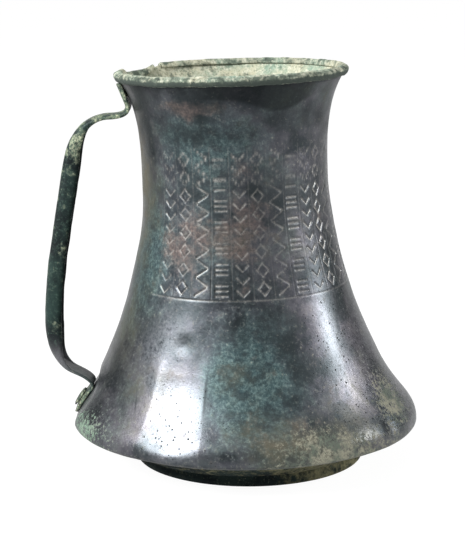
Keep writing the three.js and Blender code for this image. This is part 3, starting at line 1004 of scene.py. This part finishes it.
# Base and foot
def base_pan():
    """The base: its flange lies inside the turned hem, and its middle is raised a little."""
    turn_points = 60
    floor_points = 90
    pole = 0.2
    flange_share = BASE_FLANGE_WIDTH / (WIDEST[0] - HEM[0]) * UNDER_TURN_EASE
    turn = under_turn(turn_points)
    count = int(round(flange_share * (turn_points - 1))) + 1
    on_hem = turn[:count] - outline_normals(turn)[:count] * (WALL_THICKNESS + SEAT)
    flat_radius = FOOT_RADIUS + FOOT_OFF_CENTRE
    floor_height = FOOT_HEIGHT + SEAT
    corners = np.array([
        (flat_radius + BASE_CORNER, floor_height + BASE_CORNER / 2),
        (flat_radius, floor_height),
        (FOOT_RADIUS - 3 * FOOT_WIDTH, floor_height),
        (FOOT_RADIUS / 2, floor_height + 0.7 * FLOOR_RISE),
        (pole, floor_height + FLOOR_RISE),
    ])
    under = np.concatenate([on_hem[::-1], corners])

    # The same outline, with its points evenly spaced
    steps = np.linalg.norm(np.diff(under, axis=0), axis=1)
    length = np.concatenate([[0], np.cumsum(steps)])
    samples = np.linspace(0, length[-1], floor_points)
    under = np.stack([np.interp(samples, length, under[:, axis]) for axis in range(2)], axis=1)
    above = under + outline_normals(under) * BASE_THICKNESS
    above[:, 0] = np.maximum(above[:, 0], pole)
    loop = np.concatenate([under, above[::-1]])
    azimuth = np.linspace(-180, 180, BASE_COLUMNS, endpoint=False)
    columns, radius, height = swept(loop, azimuth)
    grid = around(columns, radius, height)
    crust = np.clip(0.5 + 0.5 * lumps(grid, 18) + 0.4 * (wrapped(columns) > 10), 0, 1)
    grid_object("worn_base", "base_pan", [under_patina, pale_crust], grid,
                {"crust": crust}, face_material=np.arange(len(loop)) > floor_points)


def foot_ring():
    """The ring the jug stands on: a low band, rough outside, a little off centre."""
    step_length = 0.45
    inner = FOOT_RADIUS - FOOT_WIDTH
    corners = np.array([
        (inner, 0),
        (inner + FOOT_BEVEL, 0),
        (FOOT_RADIUS - FOOT_EDGE, 0),
        (FOOT_RADIUS, FOOT_EDGE),
        (FOOT_RADIUS + FOOT_TAPER / 2, FOOT_HEIGHT / 3),
        (FOOT_RADIUS - FOOT_TAPER, FOOT_HEIGHT - FOOT_BEVEL),
        (FOOT_RADIUS - FOOT_TAPER - FOOT_BEVEL, FOOT_HEIGHT),
        (inner + FOOT_TAPER, FOOT_HEIGHT),
        (inner + FOOT_TAPER - FOOT_BEVEL / 2, FOOT_HEIGHT - FOOT_BEVEL),
    ])
    loop = []
    for start, end in zip(corners, np.roll(corners, -1, axis=0)):
        steps = max(1, int(np.linalg.norm(end - start) / step_length))
        loop += [start + (end - start) * step / steps for step in range(steps)]
    azimuth = np.linspace(-180, 180, FOOT_COLUMNS, endpoint=False)
    columns, radius, height = swept(np.array(loop), azimuth)
    places = around(columns, radius, height)
    outside = (radius > FOOT_RADIUS - 0.5) & (height > 0.3)
    radius = radius + outside * (0.16 * lumps(places, 3.4) + 0.07 * lumps(places, 1.3) - 0.1)
    grid = around(columns, radius, height)
    grid[..., 0] += FOOT_OFF_CENTRE
    crust = np.clip(0.1 + 0.85 * smooth(wrapped(columns), 5, 40) + 0.3 * lumps(grid, 9), 0, 1.6)
    grid_object("worn_foot", "foot_ring", [under_patina], grid, {"crust": crust})


# Handle
def unit(x, y):
    return np.array([x, y]) / math.hypot(x, y)


def handle_path():
    """Stations down the strap's outer face, with the form of the section at each."""
    tab_top_height = RIM[1] - OUTER_LEG - 2 * SEAT
    tab_top, _ = on_wall(tab_top_height, SEAT + STRAP_THICKNESS)
    tab_foot, _ = on_wall(tab_top_height - TAB_LENGTH, TAB_STAND_OFF + STRAP_THICKNESS)
    plate_lift = SEAT + PLATE_THICKNESS
    plate_top, plate_normal = on_wall(PLATE_TOP_HEIGHT, plate_lift)
    plate_heights = np.linspace(PLATE_TOP_HEIGHT, PLATE_FOOT_HEIGHT, 24)
    out = np.array([1.0, 0.0])
    down = np.array([0.0, -1.0])
    tab_way = unit(*(tab_foot - tab_top))
    grip_way = unit(GRIP_TOP_FLARE, -1)
    elbow_way = unit(-1, -ELBOW_SLOPE)
    plate_way = np.array([plate_normal[1], -plate_normal[0]])

    tab = tab_top + (tab_foot - tab_top) * np.linspace(0, 1, 16)[:, None]
    bend = cubic(tab_foot, tab_way * BEND_PULL, ARCH, out * BEND_PULL, 30)
    arch = cubic(ARCH, out * ARCH_PULL, GRIP_TOP, grip_way * GRIP_TOP_PULL, 46)
    grip = cubic(GRIP_TOP, grip_way * GRIP_PULL, GRIP_FOOT, down * GRIP_PULL, 80)
    sweep = cubic(GRIP_FOOT, down * GRIP_FOOT_PULL, ELBOW, elbow_way * ELBOW_PULL, 42)
    notch = cubic(ELBOW, elbow_way * NOTCH_PULL, plate_top, plate_way * PLATE_TOP_PULL, 26)
    plate = np.array([on_wall(height, plate_lift)[0] for height in plate_heights])
    runs = [
        (tab, FLAT, FLAT),
        (bend, FLAT, FLAT),
        (arch, FLAT, CHANNEL),
        (grip, CHANNEL, CHANNEL),
        (sweep, CHANNEL, FLAT),
        (notch, FLAT, PLATE),
        (plate, PLATE, PLATE),
    ]
    places = [tab[:1]]
    forms = [FLAT[None]]
    for points, start, end in runs:
        share = smooth(np.linspace(0, 1, len(points)), 0, 1)[:, None]
        places.append(points[1:])
        forms.append((start + (end - start) * share)[1:])
    places = np.concatenate(places)
    forms = np.concatenate(forms)

    # The plate ends in a round tongue
    share = np.arange(1, TONGUE_STATIONS + 1) / (TONGUE_STATIONS + 0.5)
    forms[-TONGUE_STATIONS:, 0] *= np.sqrt(1 - share ** 2)
    return places, forms


def strap_section(width, depth, thickness):
    """Places across the strap, and back from its outer face, on its outer and inner skins."""
    turn = np.linspace(0, math.pi, SKIN_POINTS)
    sideways = np.sign(np.cos(turn)) * np.abs(np.cos(turn)) ** SQUARENESS
    raised = np.sin(turn) ** SQUARENESS
    inner_half_width = width / 2 - thickness * 0.8
    across = np.concatenate([width / 2 * sideways, (inner_half_width * sideways)[::-1]])
    back = np.concatenate([depth - depth * raised, (depth - (depth - thickness) * raised)[::-1]])
    return across, back


def strap_handle():
    places, forms = handle_path()
    rows = []
    for place, form, normal in zip(places, forms, outline_normals(places)):
        across, back = strap_section(*form)
        radius = place[0] + normal[0] * back
        height = place[1] + normal[1] * back
        angle = math.pi + across / place[0]
        rows.append(np.stack([radius * np.cos(angle), radius * np.sin(angle), height], axis=1))
    grid = np.array(rows)

    # Hammer lumps move the strap's skins, except on the plate
    outward = grid - grid.mean(axis=1, keepdims=True)
    outward /= np.maximum(np.linalg.norm(outward, axis=-1, keepdims=True), 1e-6)
    fade = smooth(grid[..., 2], 30, 36)
    lump = (0.2 * lumps(grid, 7.5) + 0.1 * lumps(grid, 2.8)) * fade
    grid = grid + outward * lump[..., None]

    # Crust is thick at both ends, painted shade fills the channel's inside, and the lower bend is
    # rubbed bare
    height = places[:, 1:]
    is_inner = np.repeat([[0.0, 1.0]], SKIN_POINTS, axis=1)
    crust = 0.25 + 0.55 * smooth(height, 118, 150) + 0.5 * (1 - smooth(height, 29, 36))
    in_channel = smooth(forms[:, 1:2], 3, 6)
    marks = {
        "crust": crust * (1 - 0.8 * is_inner),
        "shade": 0.85 * is_inner * in_channel,
        "bare": 0.6 * hump(height, 43, 7) * np.ones(is_inner.shape),
    }
    marks = {name: values.T[:, ::-1] for name, values in marks.items()}
    grid_object("hammered_strap", "strap_handle", [handle_patina],
                grid.transpose(1, 0, 2)[:, ::-1], marks, wrap_columns=False)


def rivet(name, node, height, outline):
    """A rivet turned about the wall's normal behind the handle, tail inside the wall."""
    place, normal = on_wall(height, 0)
    full_turn = np.radians(np.linspace(0, 360, RIVET_COLUMNS, endpoint=False))
    turn, reach, out = swept(outline, full_turn)
    reach = reach * (1 + 0.05 * np.sin(3 * turn + height))
    side = reach * np.cos(turn)
    rise = reach * np.sin(turn)
    radius = place[0] + normal[0] * out - normal[1] * rise
    level = place[1] + normal[1] * out + normal[0] * rise
    grid = np.stack([-radius, side, level], axis=-1)
    grid_object(name, node, [handle_patina], grid,
                {"crust": np.full(radius.shape, 0.8)}, wrap_rows=False)


def lifted(profile, level):
    return [(radius, level + rise) for radius, rise in profile]


def rivets():
    tail = lifted(TAIL_PROFILE, -WALL_THICKNESS - SEAT)
    flush = lifted(FLUSH_PROFILE, STRAP_THICKNESS + SEAT + FLUSH_HEAD_LIFT)
    dome = lifted(DOME_PROFILE, PLATE_THICKNESS + 2 * SEAT - DOME_SEAT)
    rivet("flush_rivet", "upper_rivet", RIM[1] - UPPER_RIVET_DROP, np.array(tail + flush))
    rivet("domed_rivet", "lower_rivet", LOWER_RIVET_HEIGHT, np.array(tail + dome))


body_wall()
rim_binding()
base_pan()
foot_ring()
strap_handle()
rivets()


# Floor, world, lamps and camera
def bright_share(tree, always, seen):
    """Strength that is raised for rays from the camera and for mirrored rays."""
    path = tree.nodes.new("ShaderNodeLightPath")
    share = path.outputs["Is Camera Ray"]
    for ray in ("Is Glossy Ray", "Is Transmission Ray"):
        larger = tree.nodes.new("ShaderNodeMath")
        larger.operation = "MAXIMUM"
        tree.links.new(share, larger.inputs[0])
        tree.links.new(path.outputs[ray], larger.inputs[1])
        share = larger.outputs[0]
    level = tree.nodes.new("ShaderNodeMapRange")
    tree.links.new(share, level.inputs["Value"])
    level.inputs["To Min"].default_value = always
    level.inputs["To Max"].default_value = seen
    return level.outputs["Result"]


def flat_sheet(name, size, material):
    """A rectangle that belongs to the stage, face up at the origin."""
    half_x = size[0] / 2
    half_y = size[1] / 2
    corners = [(-half_x, -half_y, 0), (half_x, -half_y, 0), (half_x, half_y, 0), (-half_x, half_y, 0)]
    mesh = bpy.data.meshes.new(name)
    mesh.from_pydata(corners, [], [(0, 1, 2, 3)])
    mesh.materials.append(material)
    sheet = bpy.data.objects.new(name, mesh)
    bpy.context.scene.collection.objects.link(sheet)
    return sheet


def floor():
    """Pale paper that takes shadows, with a glow that the camera and mirrored rays see."""
    material = bpy.data.materials.new("floor_paper")
    material.use_nodes = True
    tree = material.node_tree
    tree.nodes.remove(tree.nodes["Principled BSDF"])
    paper = tree.nodes.new("ShaderNodeBsdfDiffuse")
    paper.inputs["Color"].default_value = (PAPER_GREY, PAPER_GREY, PAPER_GREY, 1)
    glow = tree.nodes.new("ShaderNodeEmission")
    glow.inputs["Strength"].default_value = FLOOR_GLOW
    mix = tree.nodes.new("ShaderNodeMixShader")
    tree.links.new(bright_share(tree, 0.0, FLOOR_GLOW_SHARE), mix.inputs["Fac"])
    tree.links.new(paper.outputs[0], mix.inputs[1])
    tree.links.new(glow.outputs[0], mix.inputs[2])
    tree.links.new(mix.outputs[0], tree.nodes["Material Output"].inputs["Surface"])
    flat_sheet("floor", (FLOOR_SIZE, FLOOR_SIZE), material)


def world():
    sky = bpy.data.worlds.new("studio")
    bpy.context.scene.world = sky
    sky.use_nodes = True
    tree = sky.node_tree
    background = tree.nodes["Background"]
    tree.links.new(bright_share(tree, WORLD_LIGHT, WORLD_SEEN), background.inputs["Strength"])
    background.inputs["Color"].default_value = (1, 1, 1, 1)


def aim(piece, place, target):
    """Sets a lamp or card at a place, turned to face a target."""
    piece.location = place
    piece.rotation_euler = (Vector(target) - Vector(place)).to_track_quat("-Z", "Y").to_euler()


def softbox(name, place, target, size, power):
    lamp = bpy.data.lights.new(name, "AREA")
    lamp.shape = "RECTANGLE"
    lamp.size, lamp.size_y = size
    lamp.energy = power
    holder = bpy.data.objects.new(name, lamp)
    bpy.context.scene.collection.objects.link(holder)
    aim(holder, place, target)


def flags():
    """Black cards beside the lamps, seen only as dark reflections on the jug."""
    black = bpy.data.materials.new("black_card")
    black.use_nodes = True
    surface = black.node_tree.nodes["Principled BSDF"]
    surface.inputs["Base Color"].default_value = (CARD_GREY, CARD_GREY, CARD_GREY, 1)
    for name, place, size in CARDS:
        card = flat_sheet(name, size, black)
        aim(card, place, CARD_TARGET)
        card.visible_camera = False
        card.visible_diffuse = False
        card.visible_shadow = False


def camera():
    lens = bpy.data.cameras.new("photo_camera")
    lens.sensor_fit = "HORIZONTAL"
    lens.sensor_width = SENSOR_MM
    lens.lens = LENS_MM
    holder = bpy.data.objects.new("photo_camera", lens)
    bpy.context.scene.collection.objects.link(holder)
    pitch = Matrix.Rotation(math.radians(90 - CAMERA_PITCH), 4, "X")
    roll = Matrix.Rotation(math.radians(CAMERA_ROLL), 4, "Z")
    holder.matrix_world = Matrix.Translation(CAMERA_PLACE) @ pitch @ roll
    bpy.context.scene.camera = holder


floor()
world()
softbox("key_softbox", KEY_PLACE, KEY_TARGET, KEY_SIZE, KEY_POWER)
softbox("side_strip", STRIP_PLACE, STRIP_TARGET, STRIP_SIZE, STRIP_POWER)
flags()
camera()

bpy.context.scene.view_settings.view_transform = "Standard"
